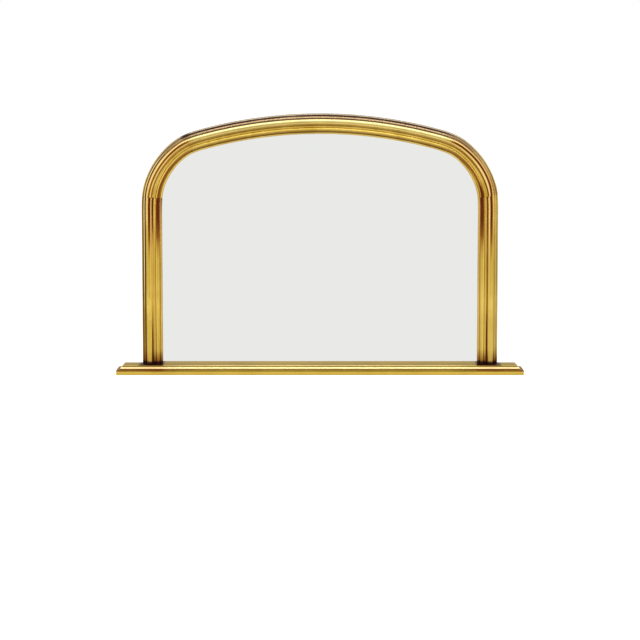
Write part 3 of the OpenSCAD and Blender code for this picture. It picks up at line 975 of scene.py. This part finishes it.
    def _close(self, shader: Shader, gold: Signal, grain: tuple[Signal, Sequence[float]],
               masks: Mapping[str, Signal], glare: Colour = WHITE) -> None:
        """Closes a gilt material that shows bare wood in places.

        Args:
            shader: Shader to build in.
            gold: The gilding's colour.
            grain: Place to read the bare wood's grain at, and the grain's stretch.
            masks: The masks bare, shadow and stain, shine and dull, and the patterns strokes and clouds.
            glare: Tint of the metal at a low angle.
        """
        bare, strokes = masks["bare"], masks["strokes"]
        wood, fibre = self.timber.colour(shader, *grain)
        grit = shader.noise(shader.place(), 420.0)
        height = strokes * 0.5 + masks["clouds"] * 0.6 + grit * 0.05 + fibre * bare
        shader.finish({
            "Base Color": shader.mix(bare, gold, wood),
            "Metallic": (1.0 - bare) * (self.metal - masks["shadow_and_stain"] * 0.1),
            "Roughness": self.rough + masks["dull"] * 0.1 + strokes * 0.1 + bare * 0.3,
            "Specular Tint": glare,
            "Coat Weight": (1.0 - bare) * (masks["shine"] * 0.2 + self.coat),
            "Coat Roughness": self.coat_rough,
            "Normal": shader.bump(height, self.relief),
        })

    def shelf_material(self) -> Material:
        """Makes the finish of the shelf's two boards.

        Returns:
            The material.
        """
        made, shader = new_material("gilt_shelf")
        step, band, place = shader.step, shader.band, shader.place()
        x, y, z = shader.split(place, 1 / MM)
        side = abs(x)
        inset = shader.math("MINIMUM", y + SHELF.depth, SHELF.half_w - side)
        strokes = shader.noise(shader.stretched(place, (14, 260, 420)), 1.0, 3.0, 0.6)
        clouds = shader.noise(place, 10.0, 4.0, 0.6)
        fascia, ledge_w, nose_top, top = SHELF.fascia_h, SHELF.ledge_w, SHELF.nose_top, SHELF.thickness
        flat_in = ledge_w + SHELF.nose_r + SHELF.nose_quirk
        foot_out, foot_in = ARCH.half_w, ARCH.half_w - MOULDING.width
        rebate_x = ARCH.half_w - MOULDING.wall

        ledge = step(z, fascia - 0.4, fascia + 0.1) * step(inset, ledge_w + 0.3, ledge_w - 0.3)
        riser = (step(z, nose_top - 0.2, nose_top + 0.2) * step(z, top - 0.5, top - 1.2)
                 * step(inset, flat_in + 1.0, flat_in + 0.4))
        # Painted highlight on the nose.
        nose = band(z, nose_top - 2.6, 3.4, 2.0) * step(inset, flat_in - 1.0, flat_in - 2.0)
        flat = step(z, top - 0.6, top - 0.2) * step(inset, flat_in + 1.2, flat_in + 3.1)
        hollows = band(z, SHELF.base_t + 0.2, 1.0, 0.3) + band(z, 0.0, 2.2, 0.8) * 0.5
        # Painted contact shadow on the top beside the uprights' feet.
        feet = step(side, foot_in - 8, foot_in + 1) * step(side, foot_out + 15, foot_out + 3)
        shadow_and_stain = feet * step(z, top - 1.5, top - 0.2)
        # Towards the ends the painted highlights and shade of the shelf change.
        ends = shader.clamp(step(side, 340, 560) * 0.8 + feet * 0.8)
        # Painted sheen on the middle of the fascia, and painted shadow along its brow under the ledge.
        mid_fascia = band(z, 6.0, 6.0, 2.0) * (1.0 - ledge)
        brow = step(z, fascia - 6.0, fascia - 2.0) * step(z, fascia + 0.4, fascia) * (0.7 + clouds * 0.4)
        # Painted highlight along the top board's front arris, dimmer at the ends.
        arris = (step(z, top - 1.4, top - 0.8) * step(inset, flat_in + 2.0, flat_in + 1.2)
                 * (1.0 - ends * 0.5))
        # Wax in the hollows with painted shade: the quirks, the bottom edge and the flat top.
        wax_and_shade = shader.clamp(hollows * 0.7 + riser * 0.6 + flat * 0.32 + step(strokes, 0.55, 0.8) * 0.2)
        # Painted shade and dark reflection on the ledge and the brow, redder at the ends.
        russet = shader.clamp(ledge * (0.4 + ends * 0.45 + clouds * 0.2) + brow * (0.85 + ends * 0.15))
        # Painted shade: a darker olive on the top towards the ends.
        outer_top = step(z, nose_top - 0.2, nose_top + 0.4) * step(side, 330, 560) * 0.45
        bare = shader.clamp(step(side, rebate_x + 0.3, rebate_x - 0.3) * self._behind(shader, y)
                            + step(y, -0.8, -0.2) + step(z, 0.5, 0.1))

        gold = shader.coats(
            shader.mix(step(clouds, 0.36, 0.66), self.deep, self.dusk),
            (mid_fascia * 0.25, self.pale), (arris, self.painted_highlight),
            (self._rubbed(shader, strokes, clouds), self.bole),
            (nose, shader.mix(ends, self.painted_highlight, self.blush)), (wax_and_shade, self.wax_and_shade),
            (russet, shader.mix(ends, self.olive, self.end_shade_brown)), (outer_top, self.olive), (shadow_and_stain, self.shadow_and_stain_black))
        self._close(shader, gold, (place, (8, 160, 160)), {
            "bare": bare, "shadow_and_stain": shadow_and_stain, "shine": nose, "dull": shader.clamp(wax_and_shade * 0.5 + shadow_and_stain * 0.8),
            "strokes": strokes, "clouds": clouds}, self.edge_tint)
        return made


@dataclass(frozen=True)
class Silvering:
    """Silvered sheet glass: a bright front, green edges and a painted back."""

    silver: Colour = paint(233, 234, 231)
    edge: Colour = paint(92, 128, 108)
    backing: Colour = paint(96, 84, 76)

    def material(self) -> Material:
        """Makes the finish of the mirror glass.

        Returns:
            The material.
        """
        made, shader = new_material("silvered_glass")
        facing = shader.split(shader.out(shader.node("NewGeometry"), "Normal"))[1]
        front = shader.step(facing, -0.4, -0.6)
        back = shader.step(facing, 0.4, 0.6)
        haze = shader.noise(shader.place(), 3.0, 3.0)
        speck = shader.noise(shader.place(), 300.0, 2.0)
        behind = shader.mix(back, self.edge, self.backing)
        shader.finish({
            "Base Color": shader.mix(front, behind, self.silver),
            "Metallic": front,
            "Roughness": (0.006 + shader.step(haze, 0.5, 0.75) * 0.006
                          + (1.0 - front) * (0.25 + speck * 0.4)),
        })
        return made


@dataclass(frozen=True)
class Board:
    """Hardboard: pressed fibre, its rough face marked by a wire screen."""

    light: Colour = paint(146, 104, 66)
    dark: Colour = paint(96, 64, 40)

    def material(self) -> Material:
        """Makes the finish of the backing board.

        Returns:
            The material.
        """
        made, shader = new_material("pressed_fibre")
        place = shader.place()
        fibre = shader.noise(place, 240.0, 4.0, 0.65)
        clouds = shader.noise(place, 7.0, 3.0)
        x, _, z = shader.split(place, 2 * math.pi / 0.0016)
        screen = shader.math("SINE", x) * shader.math("SINE", z)
        shader.finish({
            "Base Color": shader.mix(shader.clamp(fibre * 0.9 + clouds * 0.5 - 0.25 - screen * 0.08),
                                     self.dark, self.light),
            "Roughness": 0.62 + fibre * 0.3,
            "Normal": shader.bump(screen * 0.5 + fibre, 0.00025),
        })
        return made


@dataclass(frozen=True)
class Cork:
    """Pressed cork: light grains with dark skins."""

    light: Colour = paint(196, 150, 100)
    dark: Colour = paint(112, 74, 44)

    def material(self) -> Material:
        """Makes the finish of the setting blocks.

        Returns:
            The material.
        """
        made, shader = new_material("pressed_cork")
        cells = shader.node("TexVoronoi", None, {"Vector": shader.place(), "Scale": 700.0})
        tint = shader.noise(shader.place(), 500.0, 2.0)
        skins = shader.out(cells, "Distance")
        shader.finish({
            "Base Color": shader.mix(shader.clamp(skins * 0.9 + tint * 0.5 - 0.2), self.light, self.dark),
            "Roughness": 0.85 - tint * 0.1,
            "Normal": shader.bump(-skins, 0.0002),
        })
        return made


@dataclass(frozen=True)
class Steel:
    """Bright zinc or bare steel, with a fine tooth and faint spots."""

    name: str
    bright: Colour
    dull: Colour
    tooth: float

    def material(self) -> Material:
        """Makes the finish of a steel piece.

        Returns:
            The material.
        """
        made, shader = new_material(self.name)
        place = shader.place()
        spangle = shader.noise(place, 260.0, 3.0, 0.6)
        marks = shader.noise(shader.stretched(place, (2400, 2400, 300)), 1.0, 2.0)
        spots = shader.step(shader.noise(place, 900.0, 2.0), 0.62, 0.74)
        shader.finish({
            "Base Color": shader.mix(shader.clamp(spangle * 0.8 + spots * 0.5), self.bright, self.dull),
            "Metallic": 0.95 - spots * 0.4,
            "Roughness": self.tooth + spangle * 0.14 + spots * 0.2,
            "Normal": shader.bump(marks * 0.6 + spangle, 0.00006),
        })
        return made


ZINC = Steel("zinc_plate", paint(205, 208, 210), paint(150, 154, 158), 0.26)
SCREW_STEEL = Steel("screw_steel", paint(176, 174, 170), paint(112, 108, 104), 0.34)


# ---------------------------------------------------------------- frame


@dataclass
class GiltFrame:
    """The frame's five pieces of moulding, swept and cut at their joints."""

    section: Moulding = MOULDING
    arch: Arch = ARCH
    past_joint: float = 15
    ease_reach: int = 40
    ease_ring: int = 4
    first_ring: float = 6
    rail_steps: int = 120
    corner_steps: int = 72
    foot: float = SHELF.thickness
    slot_x: float = 507
    slot_low: float = 436.845
    slot_high: float = 473.845
    slot_r: float = 14.75
    slot_in: float = 5
    slot_steps: int = 24
    finish: Material = field(init=False)

    def build(self) -> None:
        """Builds the five pieces."""
        self.finish = Gilding().frame_material()
        self._top_rail()
        for side in Side:
            self._corner(side)
            self._upright(side)

    def _sweep(self, centre: Vector, radius: float, start: float, end: float, steps: int) -> Mesh:
        """Sweeps the section round a centre.

        Args:
            centre: Centre of the bow, as x and z.
            radius: Radius of the outer edge.
            start: First angle from +X.
            end: Last angle.
            steps: Number of steps.

        Returns:
            The swept piece, open at both ends.
        """
        mesh = bmesh.new()
        draw_moulding(mesh, self.section)
        extra = self.past_joint / radius
        lay = (Matrix.Translation((centre.x, 0, centre.y)) @ Matrix.Rotation(-(start - extra), 4, "Y")
               @ Matrix.Translation((radius, 0, 0)) @ Matrix.Rotation(math.pi, 4, "Z"))
        bmesh.ops.transform(mesh, matrix=lay, verts=mesh.verts)
        bmesh.ops.spin(mesh, geom=mesh.verts[:] + mesh.edges[:], cent=(centre.x, 0, centre.y),
                       axis=(0, -1, 0), angle=end - start + 2 * extra, steps=steps, use_duplicate=False)
        return mesh

    def _ease(self, mesh: Mesh, joint: Point, angle: float, turn: float) -> None:
        """Sands the bend at a joint into a short curve.

        Args:
            mesh: The piece.
            joint: Outer corner of the joint, as x and z.
            angle: Slope of the joint.
            turn: Angle between the two pieces' outlines.
        """
        outwards = Vector((math.cos(angle), 0, math.sin(angle)))
        ahead = Vector((-math.sin(angle), 0, math.cos(angle)))
        start = Vector((joint[0], 0, joint[1]))
        for vert in mesh.verts:
            near = 1 - abs((vert.co - start).dot(ahead)) / self.ease_reach
            if near > 0 and (vert.co - start).length < 2 * self.section.width + self.ease_reach:
                vert.co -= outwards * near ** 2 * turn * self.ease_reach / 4

    @staticmethod
    def _mark_run(mesh: Mesh, side: Side, place: Callable[[float, float], Point]) -> None:
        """Marks how far each point lies from the outer edge and along the frame.

        Args:
            mesh: A right-hand piece, closed, before its joints are eased.
            side: The side it belongs on.
            place: Gives distance from the edge and run of a point.
        """
        run = mesh.loops.layers.uv.new(RUN)
        for face in mesh.faces:
            for loop in face.loops:
                across, along = place(loop.vert.co.x, loop.vert.co.z)
                loop[run].uv = (across * MM, along * side.value * MM)

    def _hand_in(self, mesh: Mesh, node: str, side: Side) -> None:
        """Turns a right-hand piece to its side and finishes it.

        Args:
            mesh: The piece, closed and marked.
            node: CAD node that it stands for.
            side: The side it belongs on.
        """
        bmesh.ops.scale(mesh, vec=(side.value, 1, 1), verts=mesh.verts)
        bmesh.ops.recalc_face_normals(mesh, faces=mesh.faces)
        soften(mesh)
        finish_piece(mesh, "gilt_" + node, self.finish, "mirror", node)

    def _top_rail(self) -> None:
        """Builds the bowed rail."""
        arch, joint = self.arch, self.arch.joint_a
        mesh = self._sweep(arch.rail_centre, arch.rail_r, math.pi / 2 - arch.rail_end,
                           math.pi / 2 + arch.rail_end, self.rail_steps)
        ends = ((joint, arch.mitre_a, -1), ((-joint.x, joint.y), math.pi - arch.mitre_a, 1))
        for place, angle, side in ends:
            cut(mesh, place, angle, side)
        self._mark_run(mesh, Side.RIGHT, arch.rail_place)
        for place, angle, _ in ends:
            self._ease(mesh, place, angle, arch.turn_a)
        self._hand_in(mesh, "top_rail", Side.RIGHT)

    def _corner(self, side: Side) -> None:
        """Builds a corner piece.

        Args:
            side: The side it belongs on.
        """
        arch = self.arch
        mesh = self._sweep(arch.corner_centre, arch.corner_r, arch.corner_start, arch.corner_end,
                           self.corner_steps)
        cut(mesh, arch.joint_a, arch.mitre_a, 1)
        cut(mesh, arch.joint_b, arch.mitre_b, -1)
        self._mark_run(mesh, side, arch.corner_place)
        self._ease(mesh, arch.joint_a, arch.mitre_a, arch.turn_a)
        self._ease(mesh, arch.joint_b, arch.mitre_b, arch.corner_start)
        self._hand_in(mesh, "corner_" + side.word, side)

    def _upright(self, side: Side) -> None:
        """Builds an upright with the slot for its hanger.

        Args:
            side: The side it belongs on.
        """
        mesh = bmesh.new()
        draw_moulding(mesh, self.section)
        lay = Matrix.Translation((self.arch.half_w, 0, self.foot)) @ Matrix.Rotation(math.pi, 4, "Z")
        bmesh.ops.transform(mesh, matrix=lay, verts=mesh.verts)
        ring = mesh.edges[:]
        grown = bmesh.ops.extrude_edge_only(mesh, edges=ring)["geom"]
        tops = [part for part in grown if isinstance(part, bmesh.types.BMVert)]
        height = self.arch.joint_b.y + self.past_joint - self.foot
        bmesh.ops.translate(mesh, vec=(0, 0, height), verts=tops)
        bmesh.ops.edgeloop_fill(mesh, edges=ring)
        cut(mesh, self.arch.joint_b, self.arch.mitre_b, 1)
        self._hanger_slot(mesh)
        for below in range(0, self.ease_reach + self.ease_ring, self.ease_ring):
            level = self.arch.joint_b.y - self.first_ring - below
            bmesh.ops.bisect_plane(mesh, geom=mesh.verts[:] + mesh.edges[:] + mesh.faces[:], dist=TOUCH,
                                   plane_co=(0, 0, level), plane_no=(0, 0, 1))
        self._mark_run(mesh, side, self.arch.upright_place)
        self._ease(mesh, self.arch.joint_b, self.arch.mitre_b, self.arch.corner_start)
        self._hand_in(mesh, "upright_" + side.word, side)

    def _hanger_slot(self, mesh: Mesh) -> None:
        """Sinks the round-ended slot for the hanger in an upright's back.

        Args:
            mesh: The right upright.
        """
        back = max(mesh.faces, key=lambda face: face.calc_area() if all(
            abs(vert.co.y) < TOUCH for vert in face.verts) else 0)
        rim = back.edges[:]
        bmesh.ops.delete(mesh, geom=[back], context="FACES_ONLY")
        before = set(mesh.edges)
        pen = Pen(mesh, (self.slot_r, self.slot_high))
        pen.arc((0, self.slot_high), math.pi, self.slot_steps)
        pen.line((-self.slot_r, self.slot_low))
        pen.arc((0, self.slot_low), math.pi, self.slot_steps)
        pen.close()
        slot = [edge for edge in mesh.edges if edge not in before]
        lay = Matrix.Translation((self.slot_x, 0, 0)) @ Matrix.Rotation(math.pi / 2, 4, "X")
        bmesh.ops.transform(mesh, matrix=lay, verts=list({vert for edge in slot for vert in edge.verts}))
        bmesh.ops.triangle_fill(mesh, use_beauty=True, edges=rim + slot)
        walls = bmesh.ops.extrude_edge_only(mesh, edges=slot)["geom"]
        deep = [part for part in walls if isinstance(part, bmesh.types.BMVert)]
        bmesh.ops.translate(mesh, vec=(0, -self.slot_in, 0), verts=deep)
        floor = [edge for edge in mesh.edges
                 if edge.is_boundary and all(vert in deep for vert in edge.verts)]
        bmesh.ops.edgeloop_fill(mesh, edges=floor)


# ---------------------------------------------------------------- shelf


@dataclass
class MantelShelf:
    """The shelf: a nosed upper board, with a notch for the glass, on a lower board with a fascia."""

    sizes: Shelf = SHELF
    steps: int = 12
    finish: Material = field(init=False)

    def build(self) -> None:
        """Builds the upper board and dresses the lower one."""
        self.finish = Gilding().shelf_material()
        self._top_board()
        smooth_copy("shelf_base_board", self.finish, "mirror")
        dress_node("shelf_screws", SCREW_STEEL.material())

    def _edge(self) -> list[Point]:
        """Lists the upper board's moulded edge from its foot up.

        Returns:
            Inset from the fascia and height of each point.
        """
        sizes = self.sizes
        quarter = [math.radians(90 * turn / self.steps) for turn in range(self.steps + 1)]
        nose = [(sizes.ledge_w + sizes.nose_r * (1 - math.cos(turn)),
                 sizes.base_t + sizes.nose_foot + sizes.nose_r * math.sin(turn)) for turn in quarter]
        ease_in = sizes.ledge_w + sizes.nose_r + sizes.nose_quirk
        ease = [(ease_in + sizes.top_ease * (1 - math.cos(turn)),
                 sizes.thickness - sizes.top_ease * (1 - math.sin(turn))) for turn in quarter[::3]]
        return [(sizes.ledge_w, sizes.base_t), *nose, *ease]

    def _top_board(self) -> None:
        """Builds the upper board by raising its outline along the moulded edge."""
        sizes, edge = self.sizes, self._edge()
        inset, height = edge[0]
        notch = ARCH.half_w - MOULDING.wall
        outline = [(inset - sizes.half_w, 0), (inset - sizes.half_w, inset - sizes.depth),
                   (sizes.half_w - inset, inset - sizes.depth), (sizes.half_w - inset, 0),
                   (notch, 0), (notch, -MOULDING.rebate_d), (-notch, -MOULDING.rebate_d), (-notch, 0)]
        mesh = bmesh.new()
        pen = Pen(mesh, outline[0])
        pen.line(*outline[1:])
        pen.close()
        bmesh.ops.translate(mesh, vec=(0, 0, height), verts=mesh.verts)
        cap = bmesh.ops.edgeloop_fill(mesh, edges=mesh.edges)["faces"][0]
        for place, level in edge[1:]:
            grown = bmesh.ops.extrude_face_region(mesh, geom=[cap])["geom"]
            cap = next(part for part in grown if isinstance(part, bmesh.types.BMFace))
            for vert in cap.verts:
                outer = abs(vert.co.x) > notch + 1
                step_x = -math.copysign(place - inset, vert.co.x) if outer else 0
                step_y = place - inset if vert.co.y < -MOULDING.rebate_d - 1 else 0
                bmesh.ops.translate(mesh, vec=(step_x, step_y, level - height), verts=[vert])
            inset, height = place, level
        bmesh.ops.recalc_face_normals(mesh, faces=mesh.faces)
        soften(mesh)
        finish_piece(mesh, "gilt_top_board", self.finish, "mirror", "shelf_top_board")


# ---------------------------------------------------------------- glass, back and ironmongery


@dataclass
class GlassAndBack:
    """The glass, its cork blocks, the backing board and the points that hold it."""

    def build(self) -> None:
        """Dresses the sheet pieces and the small pieces round them."""
        dress_node("mirror_glass", Silvering().material())
        dress_node("backing_board", Board().material())
        dress_node("glass_blocks", Cork().material())
        dress_node("glazing_points", ZINC.material())
        dowel = Timber().material("beech_dowel", (160, 160, 8))
        for node in ("rail_dowels", "upright_dowels", "foot_dowels"):
            dress_node(node, dowel)
        dress_node("foot_screws", SCREW_STEEL.material())


@dataclass
class Hangers:
    """The two hangers: strap, D-ring and domed screws."""

    def build(self) -> None:
        """Stands smooth copies in for the hangers' nodes."""
        zinc, screw = ZINC.material(), SCREW_STEEL.material()
        for side in Side:
            smooth_copy("hanger_strap_" + side.word, zinc, "mirror")
            smooth_copy("hanger_ring_" + side.word, zinc, "ring_" + side.word)
            smooth_copy("hanger_screws_" + side.word, screw, "mirror")


# ---------------------------------------------------------------- studio


@dataclass(frozen=True)
class Softbox:
    """A rectangular soft light.

    Attributes:
        name: The light's name.
        at: Its place.
        towards: The point that it faces.
        size: Its width and height.
        watts: Its power.
    """

    name: str
    at: Sequence[float]
    towards: Sequence[float]
    size: Point
    watts: float

    def hang(self) -> None:
        """Adds the light to the scene."""
        data = bpy.data.lights.new(self.name, "AREA")
        data.shape = "RECTANGLE"
        data.size, data.size_y = self.size
        data.energy = self.watts
        light = add_object(self.name, data)
        light.location = self.at
        light.rotation_euler = (Vector(self.towards) - Vector(self.at)).to_track_quat("-Z", "Y").to_euler()
        light.visible_camera = False


@dataclass
class Studio:
    """A plain pale floor, soft lights and the camera."""

    camera_back: float = 5.6
    camera_height: float = 0.885
    pitch: float = 5.14
    sensor: float = 36
    focal_pixels: float = 1865
    picture: int = 640
    drop_pixels: float = 74.1
    view_reach: float = 200
    floor_colour: Colour = paint(244, 244, 244)
    floor_glow: Colour = (0.62, 0.62, 0.62, 1.0)
    floor_half: float = 80
    room_light: float = 0.55
    softboxes: Sequence[Softbox] = (
        Softbox("key", (0, -1.6, 2.4), (0, 0, 0.6), (2.6, 0.6), 22),
        Softbox("left", (-2.6, -2.2, 1.2), (0, 0, 0.4), (1.0, 1.6), 12),
        Softbox("right", (2.6, -2.2, 1.2), (0, 0, 0.4), (1.0, 1.6), 16),
    )

    def build(self) -> None:
        """Builds camera, floor, world and lights."""
        self._camera()
        self._floor()
        self._world()
        for softbox in self.softboxes:
            softbox.hang()

    def _camera(self) -> None:
        """Sets up the camera at the photograph's angle."""
        data = bpy.data.cameras.new("camera")
        data.sensor_width = self.sensor
        data.lens = self.focal_pixels / self.picture * self.sensor
        data.shift_y = -self.drop_pixels / self.picture
        data.clip_end = self.view_reach
        camera = add_object("camera", data)
        camera.location = (0, -self.camera_back, self.camera_height)
        camera.rotation_euler = (math.radians(90 - self.pitch), 0, 0)
        bpy.context.scene.camera = camera

    @staticmethod
    def _rays(shader: Shader) -> tuple[Signal, Signal]:
        """Tells rays that are seen from light that falls.

        Args:
            shader: Shader to build in.

        Returns:
            The masks of the camera's own rays and of mirrored or passed-on ones.
        """
        path = shader.node("LightPath")
        camera, glossy, through = (shader.out(path, name) for name in (
            "Is Camera Ray", "Is Glossy Ray", "Is Transmission Ray"))
        return camera, shader.clamp(glossy + through)

    def _floor(self) -> None:
        """Lays the floor, which keeps the mirror's shadow."""
        mesh = bmesh.new()
        bmesh.ops.create_grid(mesh, x_segments=1, y_segments=1, size=self.floor_half)
        made, shader = new_material("pale_floor")
        camera, mirrored = self._rays(shader)
        glow = shader.mix(camera, BLACK, self.floor_glow)
        lit = shader.node("BsdfPrincipled", None, {
            "Base Color": self.floor_colour, "Roughness": 0.9, "Specular IOR Level": 0.0,
            "Emission Color": glow, "Emission Strength": 1.0})
        plain = shader.node("Emission", None, {0: WHITE, 1: 1.0})
        both = shader.node("MixShader", None, {0: mirrored, 1: shader.out(lit), 2: shader.out(plain)})
        shader.node("OutputMaterial", None, {0: shader.out(both)})
        floor = mesh_object(mesh, "floor", made)

    def _world(self) -> None:
        """Sets a white room that lights the mirror gently."""
        world = bpy.data.worlds.new("room")
        world.use_nodes = True
        bpy.context.scene.world = world
        shader = Shader(world.node_tree)
        seen = shader.clamp(sum(self._rays(shader)))
        level = seen + (1.0 - seen) * self.room_light
        room = shader.node("Background", None, {0: WHITE, 1: level})
        shader.node("OutputWorld", None, {0: shader.out(room)})


def main() -> None:
    """Builds the studio and every sub-assembly in order."""
    logging.basicConfig(level=logging.INFO, format="%(message)s")
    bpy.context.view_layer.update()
    bpy.context.scene.view_settings.view_transform = "Standard"
    for assembly in (Studio(), GiltFrame(), MantelShelf(), GlassAndBack(), Hangers()):
        LOG.info("building %s", type(assembly).__name__)
        assembly.build()


if __name__ == "__main__":
    main()
